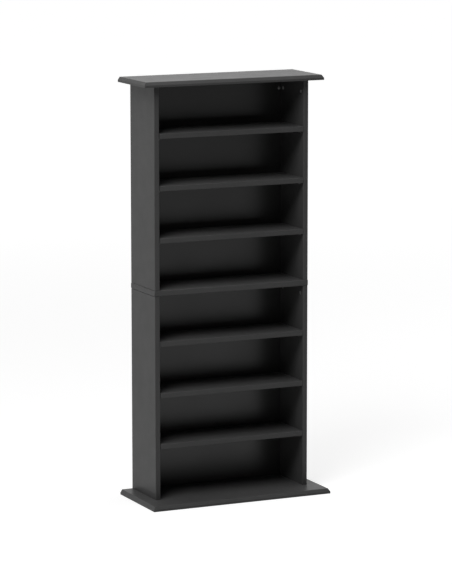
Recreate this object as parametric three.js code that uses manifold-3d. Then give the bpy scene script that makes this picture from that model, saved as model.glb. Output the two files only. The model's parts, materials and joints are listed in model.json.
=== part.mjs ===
// A free-standing tower for discs: two banks of four open compartments, one above the other.
// Lengths are in millimetres. +Z is up, the open front faces -Y, and the origin lies on the floor
// under the middle of the base board.

import * as THREE from 'three';
import { mergeVertices } from 'three/addons/utils/BufferGeometryUtils.js';
import Module from 'manifold-3d';

const wasm = await Module();
wasm.setup();

// Boards
const boardThickness = 16;
const waistThickness = 19;
const backThickness = 3.5;

// Carcase: two upper sides and two lower sides, with the waist board between them
const carcaseWidth = 516;
const carcaseDepth = 183;
const upperSideLength = 620;
const lowerSideLength = 631;
const waistReach = 1.1;

// How far the top and base boards reach past the carcase, at each end and in front
const topEndReach = 41;
const topFrontReach = 25;
const baseEndReach = 41;
const baseFrontReach = 81;

// Shelves: the pitch is from top face to top face, counted down from the board above each bank
const shelvesPerBank = 3;
const shelfPitch = 159;
const shelfEndGap = 0.8;
const shelfBackGap = 1;

// Moulded edge of the top and base: a straight bevel that turns softly into an upright lip. The run
// and drop are measured to where the bevel's line would meet the lip's.
const mouldRun = 6;
const mouldDrop = 9.5;
const mouldBlendRadius = 5;
const mouldCrownRadius = 1.2;
const lipArris = 1;

// Softened arrises of the plain boards
const sideEdgeRadius = 2.5;
const shelfEdgeRadius = 2;
const waistEdgeRadius = 4;

// Grooves that hold the back panels
const backSetIn = 18;
const grooveDepth = 6;
const grooveGap = 0.3;
const backEndGap = 0.5;

// Drilling lines, measured from the front and rear edges of the sides
const frontLineInset = 20;
const rearLineInset = 38;

// Cam locks and their bolts
const camDiameter = 12;
const camThickness = 12;
const topCamDrop = 37;
const waistCamDrop = 24;
const camDriveWidth = 1.8;
const camDriveLength = 7.5;
const camDriveDepth = 2.4;
const camRimWidth = 1;
const camRimDepth = 0.6;
const boltHeadDiameter = 6.6;
const boltHeadLength = 2.6;
const boltHeadFlare = 1.3;
const boltNeckDiameter = 4;
const boltShankDiameter = 6.4;
const boltThreadDiameter = 5.6;
const boltThreadLength = 11;
const boltTipLength = 1.5;
const boltBoreDiameter = 8;

// Shelf pins: a round shank in the side and a half-round head, flat on top, under the shelf
const pinShankDiameter = 5;
const pinShankLength = 9;
const pinHeadRadius = 4.5;
const pinHeadLength = 8;
const pinRoot = 1;

// Screws that hold the base to the lower sides
const screwLength = 48;
const screwShankDiameter = 4;
const screwHeadDiameter = 9;
const screwHeadHeight = 3.2;
const screwTipLength = 5;
const screwHeadSink = 0.6;
const screwDriveWidth = 1.3;
const screwDriveLength = 5;
const screwDriveDepth = 1.6;

// Clearances
const fitGap = 0.3;
const seatGap = 0.3;
const cutOverrun = 1;

// Facets
const mouldSteps = 3;
const softSteps = 4;
const boltSides = 12;
const camSides = 24;
const pinSides = 12;
const pinHeadSteps = 8;

// Levels
const baseTop = boardThickness;
const waistBottom = baseTop + lowerSideLength;
const waistTop = waistBottom + waistThickness;
const topBottom = waistTop + upperSideLength;

// Top and base boards over all
const topWidth = carcaseWidth + 2 * topEndReach;
const topDepth = carcaseDepth + topFrontReach;
const baseWidth = carcaseWidth + 2 * baseEndReach;
const baseDepth = carcaseDepth + baseFrontReach;

// Planes
const rearPlane = baseDepth / 2;
const carcaseFront = rearPlane - carcaseDepth;
const outerFace = carcaseWidth / 2;
const innerFace = outerFace - boardThickness;
const backRear = rearPlane - backSetIn;
const backFront = backRear - backThickness;
const frontLine = carcaseFront + frontLineInset;
const rearLine = rearPlane - rearLineInset;

const sideSigns = [['left', -1], ['right', 1]];
const drillLines = [['front', frontLine], ['rear', rearLine]];

// Turns a closed three.js geometry into a solid that can be joined and cut
function toSolid(geometry) {
  const bare = geometry.clone();
  bare.deleteAttribute('normal');
  bare.deleteAttribute('uv');
  const merged = mergeVertices(bare);
  return new wasm.Manifold(new wasm.Mesh({
    numProp: 3,
    vertProperties: Float32Array.from(merged.attributes.position.array),
    triVerts: Uint32Array.from(merged.index.array),
  }));
}

// Turns a solid back into a three.js geometry
function toGeometry(solid) {
  const mesh = solid.getMesh();
  const geometry = new THREE.BufferGeometry();
  geometry.setAttribute('position', new THREE.BufferAttribute(Float32Array.from(mesh.vertProperties), 3));
  geometry.setIndex(new THREE.BufferAttribute(Uint32Array.from(mesh.triVerts), 1));
  geometry.computeVertexNormals();
  return geometry;
}

function cutAll(solid, cutters) {
  return cutters.reduce((left, cutter) => left.subtract(cutter), solid);
}

// Turns a shape drawn in (Y, Z) and extruded from zero so that it runs along +X
function layAlongX(geometry) {
  const turn = new THREE.Matrix4().makeBasis(
    new THREE.Vector3(0, 1, 0),
    new THREE.Vector3(0, 0, 1),
    new THREE.Vector3(1, 0, 0),
  );
  return geometry.applyMatrix4(turn);
}

// Turns a shape drawn in (X, Z) and extruded from zero so that it runs along -Y
function layAlongY(geometry) {
  return geometry.rotateX(Math.PI / 2);
}

function extrude(shape, length, steps) {
  return new THREE.ExtrudeGeometry(shape, { depth: length, bevelEnabled: false, curveSegments: steps });
}

// A rectangle whose four corners are rounded by their own radii, from low left round to high left
function softRectangle(left, low, right, high, radii) {
  const [lowLeft, lowRight, highRight, highLeft] = radii;
  const shape = new THREE.Shape();
  shape.moveTo(left + lowLeft, low);
  shape.lineTo(right - lowRight, low);
  if (lowRight > 0) shape.absarc(right - lowRight, low + lowRight, lowRight, -Math.PI / 2, 0);
  shape.lineTo(right, high - highRight);
  if (highRight > 0) shape.absarc(right - highRight, high - highRight, highRight, 0, Math.PI / 2);
  shape.lineTo(left + highLeft, high);
  if (highLeft > 0) shape.absarc(left + highLeft, high - highLeft, highLeft, Math.PI / 2, Math.PI);
  shape.lineTo(left, low + lowLeft);
  if (lowLeft > 0) shape.absarc(left + lowLeft, low + lowLeft, lowLeft, Math.PI, Math.PI * 1.5);
  return shape;
}

// The bevel's lean from upright, and how far from each of its corners the rounding starts
const bevelLean = Math.atan2(mouldRun, mouldDrop);
const blendReach = mouldBlendRadius * Math.tan(bevelLean / 2);
const crownReach = mouldCrownRadius * Math.tan((Math.PI / 2 - bevelLean) / 2);

// The section of a moulded board: its near edge is always moulded, its far edge only when asked
function mouldedSection(near, far, farIsMoulded) {
  const top = boardThickness;
  const spring = top - mouldDrop - blendReach;
  const crownIn = mouldRun + crownReach;
  const crown = mouldCrownRadius;
  const blend = mouldBlendRadius;
  const shape = new THREE.Shape();
  shape.moveTo(near + lipArris, 0);
  if (farIsMoulded) {
    shape.lineTo(far - lipArris, 0);
    shape.absarc(far - lipArris, lipArris, lipArris, -Math.PI / 2, 0);
    shape.lineTo(far, spring);
    shape.absarc(far - blend, spring, blend, 0, bevelLean);
    shape.absarc(far - crownIn, top - crown, crown, bevelLean, Math.PI / 2);
  } else {
    shape.lineTo(far, 0);
    shape.lineTo(far, top);
  }
  shape.lineTo(near + crownIn, top);
  shape.absarc(near + crownIn, top - crown, crown, Math.PI / 2, Math.PI - bevelLean);
  shape.absarc(near + blend, spring, blend, Math.PI - bevelLean, Math.PI);
  shape.lineTo(near, lipArris);
  shape.absarc(near + lipArris, lipArris, lipArris, Math.PI, Math.PI * 1.5);
  return shape;
}

// A board moulded on its front and both ends. The two sections meet in mitres at the front corners.
function mouldedBoard(width, depth) {
  const ends = extrude(mouldedSection(-width / 2, width / 2, true), depth, mouldSteps);
  const front = extrude(mouldedSection(rearPlane - depth, rearPlane, false), width, mouldSteps);
  layAlongY(ends).translate(0, rearPlane, 0);
  layAlongX(front).translate(-width / 2, 0, 0);
  return toSolid(ends).intersect(toSolid(front));
}

// Round rods and cutters along X, Y and Z, each from one place on its axis to another
function rodAlongX(diameter, from, to, y, z, sides) {
  const geometry = new THREE.CylinderGeometry(diameter / 2, diameter / 2, Math.abs(to - from), sides);
  return toSolid(geometry.rotateZ(Math.PI / 2).translate((from + to) / 2, y, z));
}

function rodAlongY(diameter, from, to, x, z, sides) {
  const geometry = new THREE.CylinderGeometry(diameter / 2, diameter / 2, Math.abs(to - from), sides);
  return toSolid(geometry.translate(x, (from + to) / 2, z));
}

function rodAlongZ(diameter, from, to, x, y, sides) {
  const geometry = new THREE.CylinderGeometry(diameter / 2, diameter / 2, Math.abs(to - from), sides);
  return toSolid(geometry.rotateX(Math.PI / 2).translate(x, y, (from + to) / 2));
}

function block(width, depth, height, x, y, z) {
  const geometry = new THREE.BoxGeometry(width, depth, height);
  geometry.translate(x, y, z);
  return toSolid(geometry);
}

// The height of the flat under each shelf of a bank, from the top shelf down
function shelfBottoms(levelAbove) {
  return Array.from({ length: shelvesPerBank }, (_, i) => levelAbove - shelfPitch * (i + 1) - boardThickness);
}

// The upper bank counts from the top board, which its first compartment reaches
const upperShelves = shelfBottoms(topBottom + boardThickness);
const lowerShelves = shelfBottoms(waistTop);

// One side board: soft front arrises, a groove for the back, pockets for its cams, and pin holes
function sideBoard(sign, low, high, cams, endBores, shelves) {
  const inner = sign * innerFace;
  const mouth = inner - sign * cutOverrun;
  const radii = [sideEdgeRadius, sideEdgeRadius, 0, 0];
  const left = Math.min(inner, sign * outerFace);
  const plan = softRectangle(left, carcaseFront, left + boardThickness, rearPlane, radii);
  const board = extrude(plan, high - low, softSteps);
  board.translate(0, 0, low);

  const cutters = [];
  const grooveWidth = backThickness + 2 * grooveGap;
  const grooveReach = grooveDepth + cutOverrun;
  cutters.push(block(
    grooveReach,
    grooveWidth,
    high - low + 2 * cutOverrun,
    inner + sign * (grooveDepth - cutOverrun) / 2,
    (backFront + backRear) / 2,
    (low + high) / 2,
  ));
  for (const [, line] of drillLines) {
    for (const level of cams) {
      const pocketEnd = inner + sign * (camThickness + 2 * fitGap);
      cutters.push(rodAlongX(camDiameter + 2 * fitGap, mouth, pocketEnd, line, level, camSides));
    }
    for (const bore of endBores) {
      cutters.push(rodAlongZ(bore.diameter, bore.from, bore.to, sign * boltAxis, line, boltSides));
    }
    for (const bottom of shelves) {
      const holeEnd = inner + sign * (pinShankLength + fitGap);
      const pinLevel = bottom - seatGap;
      cutters.push(rodAlongX(pinShankDiameter + 2 * fitGap, mouth, holeEnd, line, pinLevel, pinSides));
    }
  }
  return cutAll(toSolid(board), cutters);
}

// The bolts run up the middle of the side boards
const boltAxis = innerFace + boardThickness / 2;

const threadHoleDiameter = boltThreadDiameter + 2 * fitGap;
const threadHoleDepth = boltThreadLength + fitGap;
const screwHoleDiameter = screwShankDiameter + 2 * fitGap;
const screwHoleTop = screwHeadSink + screwLength + fitGap;

function upperSide(sign) {
  const camLevel = topBottom - topCamDrop;
  const bores = [
    { diameter: boltBoreDiameter, from: camLevel, to: topBottom + cutOverrun },
    { diameter: threadHoleDiameter, from: waistTop - cutOverrun, to: waistTop + threadHoleDepth },
  ];
  return sideBoard(sign, waistTop, topBottom, [camLevel], bores, upperShelves);
}

function lowerSide(sign) {
  const camLevel = waistBottom - waistCamDrop;
  const bores = [
    { diameter: boltBoreDiameter, from: camLevel, to: waistBottom + cutOverrun },
    { diameter: screwHoleDiameter, from: baseTop - cutOverrun, to: screwHoleTop },
  ];
  return sideBoard(sign, baseTop, waistBottom, [camLevel], bores, lowerShelves);
}

function atEachBolt(make) {
  return sideSigns.flatMap(([, sign]) => drillLines.map(([, line]) => make(sign * boltAxis, line)));
}

// The top board, with a blind hole for each bolt's thread in its underside
function topBoard() {
  const holes = atEachBolt((x, y) => {
    return rodAlongZ(threadHoleDiameter, -cutOverrun, threadHoleDepth, x, y, boltSides);
  });
  return cutAll(mouldedBoard(topWidth, topDepth), holes);
}

// A flat-headed screw's outline, grown all round by a clearance, from the head's flat up to the tip
function screwOutline(grow, headRise) {
  const radius = screwShankDiameter / 2 + grow;
  const headRadius = screwHeadDiameter / 2 + grow;
  return [
    new THREE.Vector2(0, -headRise),
    new THREE.Vector2(headRadius, -headRise),
    new THREE.Vector2(headRadius, grow),
    new THREE.Vector2(radius, screwHeadHeight + grow),
    new THREE.Vector2(radius, screwLength - screwTipLength + grow),
    new THREE.Vector2(0, screwLength + grow),
  ];
}

function turned(outline, sides) {
  return toSolid(new THREE.LatheGeometry(outline, sides).rotateX(Math.PI / 2));
}

// The base board, with a countersunk hole for each screw
function baseBoard() {
  const holes = atEachBolt((x, y) => {
    const outline = screwOutline(fitGap, screwHeadSink + cutOverrun);
    return turned(outline, boltSides).translate(x, y, screwHeadSink);
  });
  return cutAll(mouldedBoard(baseWidth, baseDepth), holes);
}

// The waist board: soft on its front and ends, round at its front corners, and a little proud of the
// sides all round
function waistBoard() {
  const half = outerFace + waistReach;
  const near = carcaseFront - waistReach;
  const r = waistEdgeRadius;
  const acrossWidth = softRectangle(-half, 0, half, waistThickness, [r, r, r, r]);
  const acrossDepth = softRectangle(near, 0, rearPlane, waistThickness, [r, 0, 0, r]);
  const ends = extrude(acrossWidth, rearPlane - near, softSteps);
  const front = extrude(acrossDepth, 2 * half, softSteps);
  layAlongY(ends).translate(0, rearPlane, 0);
  layAlongX(front).translate(-half, 0, 0);
  const corner = sideEdgeRadius + waistReach;
  const plan = softRectangle(-half, near, half, rearPlane, [corner, corner, 0, 0]);
  const outline = toSolid(extrude(plan, waistThickness, softSteps));
  const board = toSolid(ends).intersect(toSolid(front)).intersect(outline);
  const bores = atEachBolt((x, y) => {
    return rodAlongZ(boltBoreDiameter, -cutOverrun, waistThickness + cutOverrun, x, y, boltSides);
  });
  return cutAll(board, bores);
}

// A loose shelf, which lies on four pins
function shelfBoard() {
  const half = innerFace - shelfEndGap;
  const far = backFront - shelfBackGap;
  const r = shelfEdgeRadius;
  const section = softRectangle(carcaseFront, 0, far, boardThickness, [r, 0, 0, r]);
  return layAlongX(extrude(section, 2 * half, softSteps)).translate(-half, 0, 0);
}

// A thin back panel, held in the grooves of the sides
function backPanel(low, high) {
  const width = 2 * (innerFace + grooveDepth - grooveGap);
  const height = high - low - 2 * backEndGap;
  return new THREE.BoxGeometry(width, backThickness, height)
    .translate(0, (backFront + backRear) / 2, (low + high) / 2);
}

// A cam lock, drawn round its own centre with its face at x = 0 and its body towards +X. The bolt's
// head enters by the mouth at the rear, and a quarter turn brings it under the slot that holds its neck.
function camLock() {
  const body = rodAlongX(camDiameter, 0, camThickness, 0, 0, camSides);
  const headPlace = boltAxis - innerFace - fitGap;
  const headWidth = boltHeadDiameter + 2 * fitGap;
  const neckWidth = boltNeckDiameter + 2 * fitGap;
  const reach = camDiameter / 2 + cutOverrun;

  const headRoom = Math.hypot(boltHeadDiameter, boltHeadLength) / 2 + fitGap;
  const headTurn = rodAlongX(
    2 * headRoom,
    headPlace - headWidth / 2,
    headPlace + headWidth / 2,
    0,
    0,
    camSides,
  );
  const headMouth = rodAlongY(headWidth, 0, reach, headPlace, 0, boltSides);

  const quarter = new THREE.Shape();
  quarter.moveTo(0, 0);
  quarter.lineTo(reach, 0);
  quarter.absarc(0, 0, reach, 0, Math.PI / 2);
  const neckTurn = layAlongX(extrude(quarter, neckWidth, boltSides));
  neckTurn.translate(headPlace - neckWidth / 2, 0, 0);
  const neckEnd = block(neckWidth, neckWidth, reach, headPlace, 0, reach / 2);

  const rim = rodAlongX(camDiameter - 2 * camRimWidth, -cutOverrun, camRimDepth, 0, 0, camSides);
  const crossDepth = camRimDepth + camDriveDepth + cutOverrun;
  const crossMiddle = crossDepth / 2 - cutOverrun;
  const upright = block(crossDepth, camDriveWidth, camDriveLength, crossMiddle, 0, 0);
  const level = block(crossDepth, camDriveLength, camDriveWidth, crossMiddle, 0, 0);
  return cutAll(body, [headTurn, headMouth, toSolid(neckTurn), neckEnd, rim, upright, level]);
}

// A cam bolt, with the middle of its head at zero and its thread up. The reach is from the cam's
// centre to the board that the thread is driven into.
function camBolt(reach) {
  const head = boltHeadDiameter / 2;
  const neck = boltNeckDiameter / 2;
  const shank = boltShankDiameter / 2;
  const thread = boltThreadDiameter / 2;
  const headTop = boltHeadLength / 2;
  const shankBottom = camDiameter / 2 + seatGap;
  const shankTop = reach - seatGap;
  const threadTop = reach + boltThreadLength;
  const outline = [
    [0, -headTop],
    [head, -headTop],
    [head, headTop],
    [neck, headTop + boltHeadFlare],
    [neck, shankBottom],
    [shank, shankBottom],
    [shank, shankTop],
    [thread, shankTop],
    [thread, threadTop - boltTipLength],
    [0, threadTop],
  ];
  return turned(outline.map(([radius, height]) => new THREE.Vector2(radius, height)), boltSides);
}

// A shelf pin, drawn with the flat of its head at z = 0 and its shank towards +X
function shelfPin() {
  const halfRound = new THREE.Shape();
  halfRound.absarc(0, 0, pinHeadRadius, Math.PI, Math.PI * 2);
  const head = toSolid(layAlongX(extrude(halfRound, pinHeadLength, pinHeadSteps)));
  const root = pinHeadLength - pinRoot;
  const radius = pinShankDiameter / 2;
  const shank = rodAlongX(pinShankDiameter, root, pinHeadLength + pinShankLength, 0, 0, pinSides);
  const aboveFlat = block(pinRoot, pinShankDiameter, pinShankDiameter, root + pinRoot / 2, 0, radius);
  return head.add(shank.subtract(aboveFlat));
}

// A base screw with a cross in its head, drawn with the head's flat at z = 0
function baseScrew() {
  const depth = screwDriveDepth + cutOverrun;
  const middle = depth / 2 - cutOverrun;
  const across = block(screwDriveLength, screwDriveWidth, depth, 0, 0, middle);
  const along = block(screwDriveWidth, screwDriveLength, depth, 0, 0, middle);
  return cutAll(turned(screwOutline(0, 0), boltSides), [across, along]);
}

const laminate = { color: 0x2f2f30, roughness: 0.48, metalness: 0 };
const hardboard = { color: 0x2a2a2b, roughness: 0.62, metalness: 0 };
const zinc = { color: 0x8d8e90, roughness: 0.42, metalness: 0.9 };
const steel = { color: 0x9b9c9e, roughness: 0.35, metalness: 1 };

const tower = new THREE.Group();

function place(name, geometry, finish, x = 0, y = 0, z = 0) {
  const mesh = new THREE.Mesh(geometry, new THREE.MeshStandardMaterial({ ...finish, flatShading: true }));
  mesh.name = name;
  mesh.position.set(x, y, z);
  tower.add(mesh);
  return mesh;
}

// Boards
place('top_panel', toGeometry(topBoard()), laminate, 0, 0, topBottom);
place('waist_panel', toGeometry(waistBoard()), laminate, 0, 0, waistBottom);
place('base_panel', toGeometry(baseBoard()), laminate);
for (const [side, sign] of sideSigns) {
  place(`side_upper_${side}`, toGeometry(upperSide(sign)), laminate);
  place(`side_lower_${side}`, toGeometry(lowerSide(sign)), laminate);
}
place('back_upper', backPanel(waistTop, topBottom), hardboard);
place('back_lower', backPanel(baseTop, waistBottom), hardboard);

// Shelves and their pins
const pinShape = shelfPin();
for (const [bank, shelves] of [['upper', upperShelves], ['lower', lowerShelves]]) {
  shelves.forEach((bottom, i) => {
    place(`shelf_${bank}_${i + 1}`, shelfBoard(), laminate, 0, 0, bottom);
    for (const [side, sign] of sideSigns) {
      for (const [line, y] of drillLines) {
        const pin = place(`pin_${bank}_${i + 1}_${side}_${line}`, toGeometry(pinShape), steel);
        pin.rotation.z = sign < 0 ? Math.PI : 0;
        pin.position.set(sign * (innerFace - pinHeadLength), y, bottom - seatGap);
      }
    }
  });
}

// Cam locks and bolts: a short bolt up into the top, and a long one up through the waist
const lockSets = [
  ['top', topBottom - topCamDrop, topCamDrop],
  ['waist', waistBottom - waistCamDrop, waistCamDrop + waistThickness],
];
const camShape = camLock();
for (const [set, level, reach] of lockSets) {
  for (const [side, sign] of sideSigns) {
    for (const [line, y] of drillLines) {
      const cam = place(`cam_${set}_${side}_${line}`, toGeometry(camShape), zinc);
      cam.rotation.z = sign < 0 ? Math.PI : 0;
      cam.position.set(sign * (innerFace + fitGap), y, level);
      place(`cam_bolt_${set}_${side}_${line}`, toGeometry(camBolt(reach)), steel, sign * boltAxis, y, level);
    }
  }
}

// Screws up through the base
for (const [side, sign] of sideSigns) {
  for (const [line, y] of drillLines) {
    place(`base_screw_${side}_${line}`, toGeometry(baseScrew()), steel, sign * boltAxis, y, screwHeadSink);
  }
}

export default tower;
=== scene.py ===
# %% [markdown]
# # A black tower for discs
# The tower stands on the floor: a moulded base board, two banks of four open compartments with
# a fixed waist board between them, and a moulded top board. Its boards, shelves, pins and cam
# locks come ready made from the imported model, in metres, so nothing is measured twice. This
# lesson adds the camera, the light, the finishes and a few small fixings. On a plain black
# object the light and the sheen do nearly all the work, so most of the cells are about them.

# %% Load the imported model
import json
import math

import bmesh
import bpy
from mathutils import Matrix, Vector


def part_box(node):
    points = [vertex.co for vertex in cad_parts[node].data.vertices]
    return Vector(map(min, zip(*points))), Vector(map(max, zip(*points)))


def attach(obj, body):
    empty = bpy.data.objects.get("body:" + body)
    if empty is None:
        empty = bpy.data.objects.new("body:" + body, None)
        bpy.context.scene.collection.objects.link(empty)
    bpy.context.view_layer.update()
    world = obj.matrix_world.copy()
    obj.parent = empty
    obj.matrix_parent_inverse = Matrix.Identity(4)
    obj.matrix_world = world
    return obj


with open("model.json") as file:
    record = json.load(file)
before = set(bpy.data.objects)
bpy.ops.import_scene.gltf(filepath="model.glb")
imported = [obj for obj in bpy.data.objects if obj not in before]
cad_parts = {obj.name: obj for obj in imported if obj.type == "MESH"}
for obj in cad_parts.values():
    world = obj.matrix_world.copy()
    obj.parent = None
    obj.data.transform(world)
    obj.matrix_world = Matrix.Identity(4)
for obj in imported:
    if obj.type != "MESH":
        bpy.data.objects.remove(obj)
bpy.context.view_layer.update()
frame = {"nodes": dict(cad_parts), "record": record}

# %% [markdown]
# ## The camera
# The picture was taken from the front left, a little above the tower's top, through a long
# lens from about nine metres away, so the upright edges run almost parallel. A camera can be
# aimed with a Track To constraint, but a measured heading, tilt and roll say exactly where it
# looks, so the three turns are multiplied together here. The lens isn't shifted, because every
# other view keeps the shift, and without one the object stays in the middle of them all.

# %% Place the camera
SENSOR = 36.0
LENS = 191.45
CLIP_NEAR = 0.1
CLIP_FAR = 60.0
CAMERA_PLACE = Vector((-3.9651, -8.5609, 2.1946))
HEADING = math.radians(24.865)
TILT_DOWN = math.radians(9.374)
ROLL = math.radians(-0.033)
TOWER_MIDDLE = Vector((0, 0, 0.65))


def put_in_scene(name, data):
    """Makes an object of a mesh, a lamp or a camera, and links it to the scene."""
    thing = bpy.data.objects.new(name, data)
    bpy.context.scene.collection.objects.link(thing)
    return thing


def place_camera():
    view = bpy.data.cameras.new("camera")
    view.lens = LENS
    view.sensor_width = SENSOR
    view.clip_start = CLIP_NEAR
    view.clip_end = CLIP_FAR
    stand = put_in_scene("camera", view)
    heading = Matrix.Rotation(-HEADING, 4, "Z")
    tilt = Matrix.Rotation(math.radians(90) - TILT_DOWN, 4, "X")
    roll = Matrix.Rotation(ROLL, 4, "Z")
    stand.matrix_world = Matrix.Translation(CAMERA_PLACE) @ heading @ tilt @ roll
    bpy.context.scene.camera = stand


place_camera()
print("camera", round((CAMERA_PLACE - TOWER_MIDDLE).length, 2), "m from the tower's middle")

# %% [markdown]
# ## A white room that gives no light
# A satin black board shows little colour of its own. What the eye reads is the white studio
# mirrored softly in it, most of all at a low angle on the top. A white world would show that,
# but it would also light the boards from all sides and wash out the dark corners. So the room
# is white for the rays that see it or mirror it, and dark for the rays that gather light for
# the boards, which is left to the lamps. The Light Path node tells these rays apart.

# %% Tell the rays apart
def rays_that_see_the_room(nodes, links):
    """The socket is 1 for camera, mirrored and see-through rays, and 0 for the rest."""
    path = nodes.new("ShaderNodeLightPath")
    seen_or_mirrored = nodes.new("ShaderNodeMath")
    seen_or_mirrored.operation = "MAXIMUM"
    links.new(path.outputs["Is Camera Ray"], seen_or_mirrored.inputs[0])
    links.new(path.outputs["Is Glossy Ray"], seen_or_mirrored.inputs[1])
    any_of_them = nodes.new("ShaderNodeMath")
    any_of_them.operation = "MAXIMUM"
    links.new(seen_or_mirrored.outputs[0], any_of_them.inputs[0])
    links.new(path.outputs["Is Transmission Ray"], any_of_them.inputs[1])
    return any_of_them.outputs[0]


print("the room is white for camera, mirrored and see-through rays")

# %% Set the world
ROOM_WHITE = 1.0
ROOM_LIGHT = 0.0


def make_the_world():
    world = bpy.data.worlds.new("white room")
    bpy.context.scene.world = world
    world.use_nodes = True
    nodes, links = world.node_tree.nodes, world.node_tree.links
    nodes.clear()
    out = nodes.new("ShaderNodeOutputWorld")
    seen = nodes.new("ShaderNodeBackground")
    seen.inputs["Color"].default_value = (1, 1, 1, 1)
    seen.inputs["Strength"].default_value = ROOM_WHITE
    lit = nodes.new("ShaderNodeBackground")
    lit.inputs["Color"].default_value = (1, 1, 1, 1)
    lit.inputs["Strength"].default_value = ROOM_LIGHT
    mix = nodes.new("ShaderNodeMixShader")
    links.new(rays_that_see_the_room(nodes, links), mix.inputs["Fac"])
    links.new(lit.outputs["Background"], mix.inputs[1])
    links.new(seen.outputs["Background"], mix.inputs[2])
    links.new(mix.outputs["Shader"], out.inputs["Surface"])


make_the_world()
bpy.context.scene.view_settings.view_transform = "Standard"
print("the room is seen at", ROOM_WHITE, "and gives light at", ROOM_LIGHT)

# %% [markdown]
# ## The floor
# The studio floor is pale and plain, and it carries the soft shadow at the tower's foot. A
# plain white sheet would turn grey where the lamps don't reach, so it has two sides to it. The
# rays that gather light for the boards find a matt pale sheet, which throws light up at the
# tower as a real floor does. The camera and the mirrors find a matt part, which takes the
# shadow, and a glow that makes up the rest of the white. The glow grows with the distance from
# the tower, and so the floor fades into the room without a horizon.

# %% Mix the floor's finish
FLOOR_COLOUR = 0.78
FLOOR_SHADE = 0.50
GLOW_NEAR = 0.70
GLOW_FAR = 1.0
GLOW_GROWS_FROM = 0.6
GLOW_GROWS_TO = 8.0


def grey(level):
    """A colour with red, green and blue alike."""
    return (level, level, level, 1)


def matt(nodes, level):
    sheet = nodes.new("ShaderNodeBsdfDiffuse")
    sheet.inputs["Color"].default_value = grey(level)
    return sheet.outputs[0]


def growing_glow(nodes, links):
    place = nodes.new("ShaderNodeTexCoord")
    distance = nodes.new("ShaderNodeVectorMath")
    distance.operation = "LENGTH"
    growth = nodes.new("ShaderNodeMapRange")
    growth.interpolation_type = "SMOOTHSTEP"
    growth.inputs["From Min"].default_value = GLOW_GROWS_FROM
    growth.inputs["From Max"].default_value = GLOW_GROWS_TO
    growth.inputs["To Min"].default_value = GLOW_NEAR
    growth.inputs["To Max"].default_value = GLOW_FAR
    glow = nodes.new("ShaderNodeEmission")
    links.new(place.outputs["Object"], distance.inputs[0])
    links.new(distance.outputs["Value"], growth.inputs["Value"])
    links.new(growth.outputs["Result"], glow.inputs["Strength"])
    return glow.outputs[0]


def floor_finish():
    finish = bpy.data.materials.new("matt white floor")
    finish.use_nodes = True
    nodes, links = finish.node_tree.nodes, finish.node_tree.links
    nodes.clear()
    out = nodes.new("ShaderNodeOutputMaterial")
    shaded_and_glowing = nodes.new("ShaderNodeAddShader")
    mix = nodes.new("ShaderNodeMixShader")
    links.new(matt(nodes, FLOOR_SHADE), shaded_and_glowing.inputs[0])
    links.new(growing_glow(nodes, links), shaded_and_glowing.inputs[1])
    links.new(rays_that_see_the_room(nodes, links), mix.inputs["Fac"])
    links.new(matt(nodes, FLOOR_COLOUR), mix.inputs[1])
    links.new(shaded_and_glowing.outputs[0], mix.inputs[2])
    links.new(mix.outputs[0], out.inputs["Surface"])
    return finish


print("the glow grows from", GLOW_NEAR, "to", GLOW_FAR, "by", GLOW_GROWS_TO, "m away")

# %% Lay the floor
FLOOR_HALF = 30.0


def lay_floor():
    mesh = bpy.data.meshes.new("floor")
    h = FLOOR_HALF
    mesh.from_pydata([(-h, -h, 0), (h, -h, 0), (h, h, 0), (-h, h, 0)], [], [(0, 1, 2, 3)])
    mesh.materials.append(floor_finish())
    floor = put_in_scene("floor", mesh)


lay_floor()
print("floor", 2 * FLOOR_HALF, "m square")

# %% [markdown]
# ## The lamps
# In the photograph the tower's left side is light, and every compartment is black in its lower
# left corner. Only a soft lamp at the front left, well above the tower and not too broad,
# shades them in that way: a broader one would reach into those corners. A broad lamp overhead
# lights the top, the base and the floor. A weak fill at the right keeps that side from going
# black in other views. Lamps could be set in watts, but a watt says little about brightness, so
# each is given by its direction and by its level, and the helper turns the level into watts.

# %% Hang a lamp
def hang_lamp(name, azimuth, height, far, size, level):
    """Azimuth 0 is in front of the tower and 90 is at its right, both in degrees. The level is
    how bright the lamp makes a white card at the tower that faces it, where 1 is white."""
    a, h = math.radians(azimuth), math.radians(height)
    toward = Vector((math.sin(a) * math.cos(h), -math.cos(a) * math.cos(h), math.sin(h)))
    lamp = bpy.data.lights.new(name, "AREA")
    lamp.shape = "DISK"
    lamp.size = size
    lamp.energy = math.pi ** 2 * far ** 2 * level
    stand = put_in_scene(name, lamp)
    stand.location = TOWER_MIDDLE + toward * far
    stand.rotation_euler = toward.to_track_quat("Z", "Y").to_euler()
    stand.visible_camera = False
    print(name, round(lamp.energy), "W")


print("a level is 1 when a white card at the tower renders as white")

# %% Hang the three lamps
LAMP_FAR = 4.5

hang_lamp("overhead", azimuth=0, height=90, far=LAMP_FAR, size=4.4, level=0.52)
hang_lamp("key", azimuth=310, height=46.5, far=LAMP_FAR, size=2.2, level=0.51)
hang_lamp("fill", azimuth=95, height=30, far=LAMP_FAR, size=3.0, level=0.20)

# %% [markdown]
# ## A black flag
# The back panels are glossy enough to mirror what stands in front of the tower. In the
# photograph they are bright where they mirror the floor near by, and black where they would
# mirror the far side of the studio. A darker room would dull the top as well, so only that
# side is covered, with what photographers call a flag: a black board that keeps a reflection
# out. It stands on the floor at the front right. Only mirrored rays meet it, so it throws no
# shadow and no camera sees it.

# %% Stand the flag
FLAG_AZIMUTH = math.radians(33.0)
FLAG_FAR = 10.20
FLAG_WIDTH = 12.24
FLAG_HEIGHT = 7.65
FELT_GREY = 0.01


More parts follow.
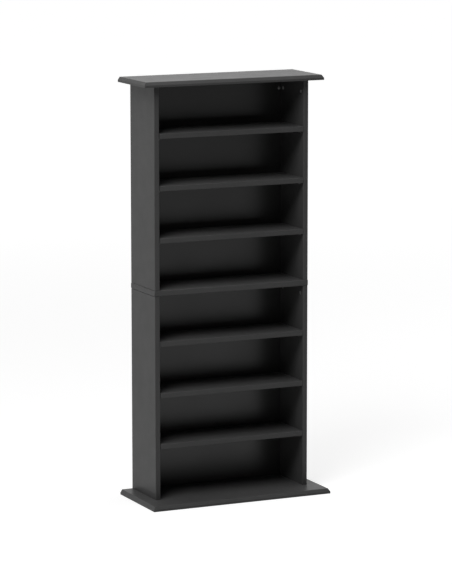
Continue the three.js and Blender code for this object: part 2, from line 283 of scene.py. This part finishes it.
def black_felt():
    finish = bpy.data.materials.new("black felt")
    finish.use_nodes = True
    shader = finish.node_tree.nodes["Principled BSDF"]
    shader.inputs["Base Color"].default_value = grey(FELT_GREY)
    shader.inputs["Roughness"].default_value = 1.0
    shader.inputs["Specular IOR Level"].default_value = 0.0
    return finish


def stand_flag():
    across = Vector((math.cos(FLAG_AZIMUTH), math.sin(FLAG_AZIMUTH), 0)) * FLAG_WIDTH / 2
    foot = Vector((math.sin(FLAG_AZIMUTH), -math.cos(FLAG_AZIMUTH), 0)) * FLAG_FAR
    up = Vector((0, 0, FLAG_HEIGHT))
    corners = [foot - across, foot + across, foot + across + up, foot - across + up]
    mesh = bpy.data.meshes.new("flag")
    mesh.from_pydata(corners, [], [(0, 1, 2, 3)])
    mesh.materials.append(black_felt())
    flag = put_in_scene("flag", mesh)
    flag.visible_camera = False
    flag.visible_diffuse = False
    flag.visible_shadow = False


stand_flag()
print("flag", FLAG_WIDTH, "by", FLAG_HEIGHT, "m,", FLAG_FAR, "m away")

# %% [markdown]
# ## Soft arrises
# The boards' arrises are eased, and the top and the base carry a moulding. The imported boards
# have these shapes, but they are flat shaded, so the round parts show facets. Their meshes stay
# as they are, so modifiers do the smoothing. The first joins the split corners and smooths the
# edges that turn by less than SHARP_ANGLE. The small steps of a round arris do, and the square
# corners don't, so these stay sharp, and so do the moulding's mitres where it is steep. The
# second weighs each corner's normal by the size of its faces, so that the large flats stay flat
# up to their round edges.

# %% Make the group that smooths
SHARP_ANGLE = math.radians(50)
JOIN_WITHIN = 1e-5


def round_edges_group():
    group = bpy.data.node_groups.new("round edges", "GeometryNodeTree")
    for way in ("INPUT", "OUTPUT"):
        group.interface.new_socket("Geometry", in_out=way, socket_type="NodeSocketGeometry")
    nodes, links = group.nodes, group.links
    start = nodes.new("NodeGroupInput")
    end = nodes.new("NodeGroupOutput")
    join = nodes.new("GeometryNodeMergeByDistance")
    join.inputs["Distance"].default_value = JOIN_WITHIN
    bare = nodes.new("GeometryNodeRemoveAttribute")
    bare.inputs["Name"].default_value = "custom_normal"
    faces = nodes.new("GeometryNodeSetShadeSmooth")
    faces.domain = "FACE"
    angle = nodes.new("GeometryNodeInputMeshEdgeAngle")
    is_sharp = nodes.new("FunctionNodeCompare")
    is_sharp.data_type = "FLOAT"
    is_sharp.operation = "GREATER_THAN"
    is_sharp.inputs["B"].default_value = SHARP_ANGLE
    edges = nodes.new("GeometryNodeSetShadeSmooth")
    edges.domain = "EDGE"
    edges.inputs["Shade Smooth"].default_value = False
    links.new(start.outputs[0], join.inputs["Geometry"])
    links.new(join.outputs["Geometry"], bare.inputs["Geometry"])
    links.new(bare.outputs["Geometry"], faces.inputs["Geometry"])
    links.new(faces.outputs["Geometry"], edges.inputs["Geometry"])
    links.new(angle.outputs["Unsigned Angle"], is_sharp.inputs["A"])
    links.new(is_sharp.outputs[0], edges.inputs["Selection"])
    links.new(edges.outputs["Geometry"], end.inputs[0])
    return group


round_edges = round_edges_group()
print("edges that turn by over", round(math.degrees(SHARP_ANGLE)), "degrees stay sharp")

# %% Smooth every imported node
# A weight of 50 would treat large and small faces alike
FAVOUR_LARGE_FACES = 100

for node in frame["nodes"].values():
    rounder = node.modifiers.new("round edges", "NODES")
    rounder.node_group = round_edges
    weights = node.modifiers.new("keep flats flat", "WEIGHTED_NORMAL")
    weights.keep_sharp = True
    weights.weight = FAVOUR_LARGE_FACES
print("smoothed", len(frame["nodes"]), "nodes")

# %% [markdown]
# ## What every finish needs
# A real finish is never one flat colour: its tone, its sheen and its relief all vary a little.
# Pictures could carry that, but noise patterns need no picture and no unwrapping, and they are
# as fine close up as from afar. They are laid out in metres on the object, so a scale of 1000
# gives grains of about a millimetre. These helpers start a material, make a noise, spread it
# over a range of values or between two tones, and turn a height into a bump.

# %% Start a finish, and make a noise
def start_finish(name, metallic=0.0):
    finish = bpy.data.materials.new(name)
    finish.use_nodes = True
    nodes, links = finish.node_tree.nodes, finish.node_tree.links
    shader = nodes["Principled BSDF"]
    shader.inputs["Metallic"].default_value = metallic
    place = nodes.new("ShaderNodeTexCoord")
    return finish, nodes, links, shader, place.outputs["Object"]


def noise(nodes, links, place, scale, detail, roughness):
    pattern = nodes.new("ShaderNodeTexNoise")
    pattern.inputs["Scale"].default_value = scale
    pattern.inputs["Detail"].default_value = detail
    pattern.inputs["Roughness"].default_value = roughness
    links.new(place, pattern.inputs["Vector"])
    return pattern.outputs["Fac"]


print("a noise is given by its scale, its detail and its roughness")

# %% Spread a noise
NOISE_LOW = 0.3
NOISE_HIGH = 0.7


def spread(nodes, links, value, low, high):
    """Most of a noise lies between NOISE_LOW and NOISE_HIGH, and that part fills the range."""
    span = nodes.new("ShaderNodeMapRange")
    span.inputs["From Min"].default_value = NOISE_LOW
    span.inputs["From Max"].default_value = NOISE_HIGH
    span.inputs["To Min"].default_value = low
    span.inputs["To Max"].default_value = high
    links.new(value, span.inputs["Value"])
    return span.outputs["Result"]


def two_tones(nodes, links, value, dark, pale):
    ramp = nodes.new("ShaderNodeValToRGB")
    low, high = ramp.color_ramp.elements
    low.position, low.color = NOISE_LOW, dark
    high.position, high.color = NOISE_HIGH, pale
    links.new(value, ramp.inputs["Fac"])
    return ramp.outputs["Color"]


print("a noise is spread from", NOISE_LOW, "to", NOISE_HIGH)


# %% Turn a height into a bump
def bump(nodes, links, height, depth, strength, under=None):
    """The depth is in metres. One bump can lie over another."""
    relief = nodes.new("ShaderNodeBump")
    relief.inputs["Distance"].default_value = depth
    relief.inputs["Strength"].default_value = strength
    links.new(height, relief.inputs["Height"])
    if under is not None:
        links.new(under, relief.inputs["Normal"])
    return relief.outputs["Normal"]


FINISHES = {}
print("ready to make finishes")

# %% [markdown]
# ## Black laminate
# The boards are particleboard faced with a satin black laminate. Its press plate leaves a fine
# pebble print, with grains under a millimetre, which can't be seen from afar but gives the
# sheen its softness. The print could be a displacement, but at that size a bump looks the same
# and adds no faces. Broad clouds vary the tone and the sheen a little, because such a face is
# never quite even. A weak coat stands for the clear skin on top. It mirrors crisply, and
# strongly enough to be seen only at a low angle, as in the bright corners of the base board.

# %% Make the laminate
LAMINATE_DARK = grey(0.0606)
LAMINATE_PALE = grey(0.0674)
LAMINATE_SPECULAR = 0.095
LAMINATE_ROUGHNESS = (0.400, 0.460)
SKIN_WEIGHT = 0.06
SKIN_ROUGHNESS = 0.10
TONE_CLOUD = (9.0, 4.0, 0.6)
SHEEN_CLOUD = (26.0, 3.0, 0.55)
PEBBLE = (1300.0, 3.0, 0.6)
PEBBLE_TONES = (0.82, 1.18)
PEBBLE_DEPTH = 0.00009
PEBBLE_STRENGTH = 1.0
RIPPLE = (120.0, 2.0, 0.5)
RIPPLE_DEPTH = 0.00004
RIPPLE_STRENGTH = 0.5


def times(nodes, links, colour, value):
    """Darkens or lightens a colour by a value near 1."""
    product = nodes.new("ShaderNodeVectorMath")
    product.operation = "SCALE"
    links.new(colour, product.inputs[0])
    links.new(value, product.inputs["Scale"])
    return product.outputs[0]


def black_laminate():
    finish, nodes, links, shader, place = start_finish("black laminate")
    cloud = noise(nodes, links, place, *TONE_CLOUD)
    sheen = noise(nodes, links, place, *SHEEN_CLOUD)
    pebble = noise(nodes, links, place, *PEBBLE)
    ripple = noise(nodes, links, place, *RIPPLE)
    tones = two_tones(nodes, links, cloud, LAMINATE_DARK, LAMINATE_PALE)
    pebble_tones = spread(nodes, links, pebble, *PEBBLE_TONES)
    links.new(times(nodes, links, tones, pebble_tones), shader.inputs["Base Color"])
    links.new(spread(nodes, links, sheen, *LAMINATE_ROUGHNESS), shader.inputs["Roughness"])
    shader.inputs["Specular IOR Level"].default_value = LAMINATE_SPECULAR
    shader.inputs["Coat Weight"].default_value = SKIN_WEIGHT
    shader.inputs["Coat Roughness"].default_value = SKIN_ROUGHNESS
    broad = bump(nodes, links, ripple, RIPPLE_DEPTH, RIPPLE_STRENGTH)
    fine = bump(nodes, links, pebble, PEBBLE_DEPTH, PEBBLE_STRENGTH, broad)
    links.new(fine, shader.inputs["Normal"])
    return finish


FINISHES["laminate"] = black_laminate()
print("laminate made, under a skin of weight", SKIN_WEIGHT)

# %% [markdown]
# ## Black hardboard
# The back panels are thin hardboard. The front is lacquered black and smoother than the
# boards, so it mirrors the bright floor before the tower. The rear is bare fibre, stained
# through, with the print of the wire screen that the wet sheet was pressed on. Two materials
# would need the panel's faces sorted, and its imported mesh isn't changed. So one finish serves
# both sides, and the direction that a face looks in chooses between them.

# %% Tell the rear from the front
REAR_FACING = 0.5


def rear_side(nodes, links):
    """The socket is 1 on faces that look to the rear, and 0 on all others."""
    facing = nodes.new("ShaderNodeTexCoord")
    split = nodes.new("ShaderNodeSeparateXYZ")
    is_rear = nodes.new("ShaderNodeMath")
    is_rear.operation = "GREATER_THAN"
    is_rear.inputs[1].default_value = REAR_FACING
    links.new(facing.outputs["Normal"], split.inputs[0])
    links.new(split.outputs["Y"], is_rear.inputs[0])
    return is_rear.outputs[0]


def front_or_rear(nodes, links, is_rear, kind, front, rear):
    """Takes the front's value or the rear's. The kind is RGBA for a colour, or else FLOAT."""
    choice = nodes.new("ShaderNodeMix")
    choice.data_type = kind
    links.new(is_rear, choice.inputs["Factor"])
    links.new(front, choice.inputs["A"])
    links.new(rear, choice.inputs["B"])
    return choice.outputs["Result"]


print("the rear's faces are those that look toward +Y")

# %% Print the wire screen
SCREEN_PITCH = 0.0016
# At a scale of 1, the bands of a wave texture are this far apart, in metres
PITCH_AT_SCALE_1 = math.pi / 10


def wire_screen(nodes, links, place):
    """The height of a woven wire print, from two sets of bands that cross."""
    bands = []
    for direction in ("X", "Z"):
        wave = nodes.new("ShaderNodeTexWave")
        wave.bands_direction = direction
        wave.inputs["Scale"].default_value = PITCH_AT_SCALE_1 / SCREEN_PITCH
        wave.inputs["Distortion"].default_value = 0.0
        links.new(place, wave.inputs["Vector"])
        bands.append(wave.outputs["Fac"])
    cross = nodes.new("ShaderNodeMath")
    cross.operation = "MAXIMUM"
    links.new(bands[0], cross.inputs[0])
    links.new(bands[1], cross.inputs[1])
    return cross.outputs[0]


print("screen pitch", SCREEN_PITCH * 1000, "mm")

# %% Make the hardboard
LACQUER_DARK = grey(0.0147)
LACQUER_PALE = grey(0.0173)
LACQUER_ROUGHNESS = (0.275, 0.325)
LACQUER_CLOUD = (7.0, 3.0, 0.55)
ORANGE_PEEL = (420.0, 2.0, 0.5)
ORANGE_PEEL_HEIGHTS = (0.0, 0.12)
FIBRE_DARK = (0.026, 0.024, 0.022, 1)
FIBRE_PALE = (0.048, 0.044, 0.040, 1)
FIBRE_ROUGHNESS = (0.62, 0.78)
FIBRE = (240.0, 4.0, 0.7)
HARDBOARD_SPECULAR = 0.40
HARDBOARD_DEPTH = 0.00012
HARDBOARD_STRENGTH = 0.7


def black_hardboard():
    finish, nodes, links, shader, place = start_finish("black hardboard")
    is_rear = rear_side(nodes, links)
    cloud = noise(nodes, links, place, *LACQUER_CLOUD)
    fibre = noise(nodes, links, place, *FIBRE)
    peel = noise(nodes, links, place, *ORANGE_PEEL)
    lacquer = two_tones(nodes, links, cloud, LACQUER_DARK, LACQUER_PALE)
    bare = two_tones(nodes, links, fibre, FIBRE_DARK, FIBRE_PALE)
    colour = front_or_rear(nodes, links, is_rear, "RGBA", lacquer, bare)
    smooth = spread(nodes, links, cloud, *LACQUER_ROUGHNESS)
    rough = spread(nodes, links, fibre, *FIBRE_ROUGHNESS)
    sheen = front_or_rear(nodes, links, is_rear, "FLOAT", smooth, rough)
    orange_peel = spread(nodes, links, peel, *ORANGE_PEEL_HEIGHTS)
    screen = wire_screen(nodes, links, place)
    height = front_or_rear(nodes, links, is_rear, "FLOAT", orange_peel, screen)
    links.new(colour, shader.inputs["Base Color"])
    links.new(sheen, shader.inputs["Roughness"])
    shader.inputs["Specular IOR Level"].default_value = HARDBOARD_SPECULAR
    surface = bump(nodes, links, height, HARDBOARD_DEPTH, HARDBOARD_STRENGTH)
    links.new(surface, shader.inputs["Normal"])
    return finish


FINISHES["hardboard"] = black_hardboard()
print("hardboard made")

# %% [markdown]
# ## Zinc and steel
# The cam locks are cast zinc, dull and a little grainy. The pins, bolts and screws are plated
# steel, smoother, with small uneven streaks. A metal shows little but what it mirrors, so both
# are fully metallic. The photograph shows them as dim grey dots, so both are dull and dark.
# They are made alike, so one helper makes both, with the numbers handed to it. The zinc's
# relief is a second, finer noise, and the steel's follows its own streaks.

# %% Make the metals
ZINC_TONES = (grey(0.26), grey(0.38))
ZINC_ROUGHNESS = (0.48, 0.62)
ZINC_MOTTLE = (500.0, 3.0, 0.6)
ZINC_GRAIN = (2600.0, 2.0, 0.5)
ZINC_RELIEF = (0.00003, 0.6)
STEEL_TONES = (grey(0.15), grey(0.22))
STEEL_ROUGHNESS = (0.40, 0.52)
STEEL_STREAK = (700.0, 3.0, 0.6)
STEEL_RELIEF = (0.00002, 0.4)


def dull_metal(name, tones, roughness, pattern, grain, relief):
    finish, nodes, links, shader, place = start_finish(name, metallic=1.0)
    mottle = noise(nodes, links, place, *pattern)
    height = noise(nodes, links, place, *grain) if grain else mottle
    links.new(two_tones(nodes, links, mottle, *tones), shader.inputs["Base Color"])
    links.new(spread(nodes, links, mottle, *roughness), shader.inputs["Roughness"])
    links.new(bump(nodes, links, height, *relief), shader.inputs["Normal"])
    return finish


FINISHES["zinc"] = dull_metal(
    "cast zinc", ZINC_TONES, ZINC_ROUGHNESS, ZINC_MOTTLE, ZINC_GRAIN, ZINC_RELIEF
)
FINISHES["steel"] = dull_metal(
    "plated steel", STEEL_TONES, STEEL_ROUGHNESS, STEEL_STREAK, None, STEEL_RELIEF
)
print("finishes:", sorted(FINISHES))

# %% [markdown]
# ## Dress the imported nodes
# Every board, shelf, pin and lock of the real tower has one of these four finishes. They could
# be given by name, one by one, but the record already names a material slot for every node, so
# the finishes simply follow from it.

# %% Give every node its finish
slot_of = {row["node"]: row["material_slot"] for row in frame["record"]["subparts"]}
for name, node in frame["nodes"].items():
    node.data.materials.clear()
    node.data.materials.append(FINISHES[slot_of[name]])
print("dressed", len(slot_of), "nodes")

# %% [markdown]
# ## Glue at the rear
# The thin panels stand in grooves in the sides, and between the boards above and below them
# they have half a millimetre of play, which lets light through. On the real thing a bead of
# black glue along the rear holds each panel still and closes that gap. A curve with a bevel
# profile could run round the panel, but it gets thinner where it turns a sharp corner. So the
# bead is built as a picture frame is: one rectangle for each point of its hollow section, each
# joined to the next.

# %% Mix the black glue
GLUE_TONES = (grey(0.012), grey(0.02))
GLUE_ROUGHNESS = (0.3, 0.5)
GLUE_FLOW = (60.0, 3.0, 0.5)
GLUE_RELIEF = (0.0006, 0.6)


def black_glue():
    finish, nodes, links, shader, place = start_finish("black glue")
    flow = noise(nodes, links, place, *GLUE_FLOW)
    links.new(two_tones(nodes, links, flow, *GLUE_TONES), shader.inputs["Base Color"])
    links.new(spread(nodes, links, flow, *GLUE_ROUGHNESS), shader.inputs["Roughness"])
    links.new(bump(nodes, links, flow, *GLUE_RELIEF), shader.inputs["Normal"])
    return finish


FINISHES["glue"] = black_glue()
print("glue mixed")

# %% Draw the bead's section
GLUE_WIDTH = 0.004
GLUE_SINK = 0.0001
GLUE_STEPS = 5


def hollow_section():
    """Pairs of distance behind the panel and distance in from the boards."""
    section = [(-GLUE_SINK, -GLUE_SINK), (GLUE_WIDTH, -GLUE_SINK)]
    for step in range(1, GLUE_STEPS):
        turn = math.radians(90) * step / GLUE_STEPS
        section.append((GLUE_WIDTH * (1 - math.sin(turn)), GLUE_WIDTH * (1 - math.cos(turn))))
    section.append((-GLUE_SINK, GLUE_WIDTH))
    return section


print("the section has", len(hollow_section()), "points")


# %% Run the glue round the panels
def piece_of(name, solid):
    """Turns a finished bmesh into an object, with its faces looking outward."""
    bmesh.ops.recalc_face_normals(solid, faces=solid.faces)
    mesh = bpy.data.meshes.new(name)
    solid.to_mesh(mesh)
    solid.free()
    return put_in_scene(name, mesh)


def glue_bead(name, panel, low_z, high_z, half_width):
    _, panel_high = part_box(panel)
    solid = bmesh.new()
    rings = []
    for behind, inward in hollow_section():
        x, y = half_width - inward, panel_high[1] + behind
        low, high = low_z + inward, high_z - inward
        corners = ((-x, y, low), (x, y, low), (x, y, high), (-x, y, high))
        rings.append([solid.verts.new(corner) for corner in corners])
    for ring, after in zip(rings, rings[1:] + rings[:1]):
        for i in range(4):
            j = (i + 1) % 4
            solid.faces.new((ring[i], ring[j], after[j], after[i]))
    bead = piece_of(name, solid)
    bead.data.materials.append(FINISHES["glue"])
    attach(bead, "carcase")
    print(name, "runs", round(4 * half_width + 2 * (high_z - low_z), 2), "m")


inner_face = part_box("side_upper_right")[0][0]
top_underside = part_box("top_panel")[0][2]
waist_underside, waist_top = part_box("waist_panel")[0][2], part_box("waist_panel")[1][2]
base_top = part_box("base_panel")[1][2]
glue_bead("glue_bead_upper", "back_upper", waist_top, top_underside, inner_face)
glue_bead("glue_bead_lower", "back_lower", base_top, waist_underside, inner_face)

# %% [markdown]
# ## The wall screws
# High up at each side of the back panel sits a screw on a broad washer, which holds the tower
# to a wall. A plain cylinder would look like a stub, so the screw is turned: the outline of
# half a washer and half a pan head is spun round its axis, as on a lathe. A boolean modifier
# then cuts the driver's cross into the head, because a true recess catches the light.

# %% Draw the screw's outline
WASHER_RADIUS = 0.0049
WASHER_THICKNESS = 0.0009
WASHER_EASE = 0.0002
WASHER_RIM_SHARE = 0.7
HEAD_RADIUS = 0.0036
HEAD_HEIGHT = 0.0022
HEAD_RIM_SHARE = 0.35
HEAD_FULLNESS = 0.6
HEAD_STEPS = 6
SEAT_SINK = 0.0001


def screw_outline():
    """Pairs of radius and height above the panel, from the rim of the washer to the middle."""
    outline = [
        (WASHER_RADIUS, -SEAT_SINK),
        (WASHER_RADIUS, WASHER_THICKNESS * WASHER_RIM_SHARE),
        (WASHER_RADIUS - WASHER_EASE, WASHER_THICKNESS),
        (HEAD_RADIUS, WASHER_THICKNESS),
        (HEAD_RADIUS, WASHER_THICKNESS + HEAD_HEIGHT * HEAD_RIM_SHARE),
    ]
    for step in range(1, HEAD_STEPS):
        turn = math.radians(90) * step / HEAD_STEPS
        radius = HEAD_RADIUS * math.cos(turn) ** HEAD_FULLNESS
        rise_share = HEAD_RIM_SHARE + (1 - HEAD_RIM_SHARE) * math.sin(turn)
        outline.append((radius, WASHER_THICKNESS + HEAD_HEIGHT * rise_share))
    return outline


print("the outline has", len(screw_outline()), "points")

# %% Spin the outline
SCREW_SIDES = 32


def turned_solid(outline):
    """Spins the outline round +Z into a closed bmesh."""
    solid = bmesh.new()
    turns = [2 * math.pi * i / SCREW_SIDES for i in range(SCREW_SIDES)]
    rings = []
    for radius, height in outline:
        points = [(radius * math.cos(turn), radius * math.sin(turn), height) for turn in turns]
        rings.append([solid.verts.new(point) for point in points])
    for low, high in zip(rings, rings[1:]):
        for i in range(SCREW_SIDES):
            j = (i + 1) % SCREW_SIDES
            solid.faces.new((low[i], low[j], high[j], high[i]))
    solid.faces.new(rings[-1])
    solid.faces.new(list(reversed(rings[0])))
    return solid


print("a screw is turned with", SCREW_SIDES, "sides")

# %% Make the cutter for the cross
CROSS_LENGTH = 0.0040
CROSS_WIDTH = 0.0011
CROSS_DEPTH = 0.0012


def cross_cutter():
    """A cross of two bars, as deep in the head as it stands out of it."""
    top = WASHER_THICKNESS + HEAD_HEIGHT
    l, w = CROSS_LENGTH / 2, CROSS_WIDTH / 2
    half_plan = [(w, w), (w, l), (-w, l), (-w, w), (-l, w), (-l, -w)]
    plan = half_plan + [(-x, -y) for x, y in half_plan]
    solid = bmesh.new()
    low = [solid.verts.new((x, y, top - CROSS_DEPTH)) for x, y in plan]
    high = [solid.verts.new((x, y, top + CROSS_DEPTH)) for x, y in plan]
    solid.faces.new(list(reversed(low)))
    solid.faces.new(high)
    for i in range(len(plan)):
        j = (i + 1) % len(plan)
        solid.faces.new((low[i], low[j], high[j], high[i]))
    return solid


print("the cross is", CROSS_LENGTH * 1000, "mm long and", CROSS_DEPTH * 1000, "mm deep")


# %% Cut the cross into a head
def cut_with(screw, cutter):
    """Gives the screw the mesh that is left when the cutter is taken out of it."""
    cut = screw.modifiers.new("cross", "BOOLEAN")
    cut.object = cutter
    cut.solver = "EXACT"
    depsgraph = bpy.context.evaluated_depsgraph_get()
    cut_mesh = bpy.data.meshes.new_from_object(screw.evaluated_get(depsgraph))
    screw.modifiers.clear()
    screw.data = cut_mesh
    cut_mesh.name = screw.name
    bpy.data.objects.remove(cutter)
    print(screw.name, "has", len(cut_mesh.polygons), "faces after the cut")
    return cut_mesh


# %% Screw them in
WALL_SCREW_INSET = 0.0065
WALL_SCREW_DROP = 0.039
CROSS_TURN = math.radians(20)


def wall_screw(name, x, y, z):
    screw = piece_of(name, turned_solid(screw_outline()))
    cut_mesh = cut_with(screw, piece_of(name + "_cross", cross_cutter()))
    toward_front = Matrix.Rotation(math.radians(90), 4, "X")
    cross_turn = Matrix.Rotation(CROSS_TURN, 4, "Z")
    cut_mesh.transform(Matrix.Translation((x, y, z)) @ toward_front @ cross_turn)
    for face in cut_mesh.polygons:
        face.use_smooth = True
    cut_mesh.set_sharp_from_angle(angle=SHARP_ANGLE)
    cut_mesh.materials.clear()
    cut_mesh.materials.append(FINISHES["steel"])
    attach(screw, "carcase")
    print(name, "at", [round(v, 4) for v in (x, y, z)])


panel_low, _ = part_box("back_upper")
side_low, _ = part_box("side_upper_right")
top_low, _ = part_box("top_panel")
for side, sign in (("left", -1), ("right", 1)):
    x = sign * (side_low[0] - WALL_SCREW_INSET)
    wall_screw(f"wall_screw_{side}", x, panel_low[1], top_low[2] - WALL_SCREW_DROP)
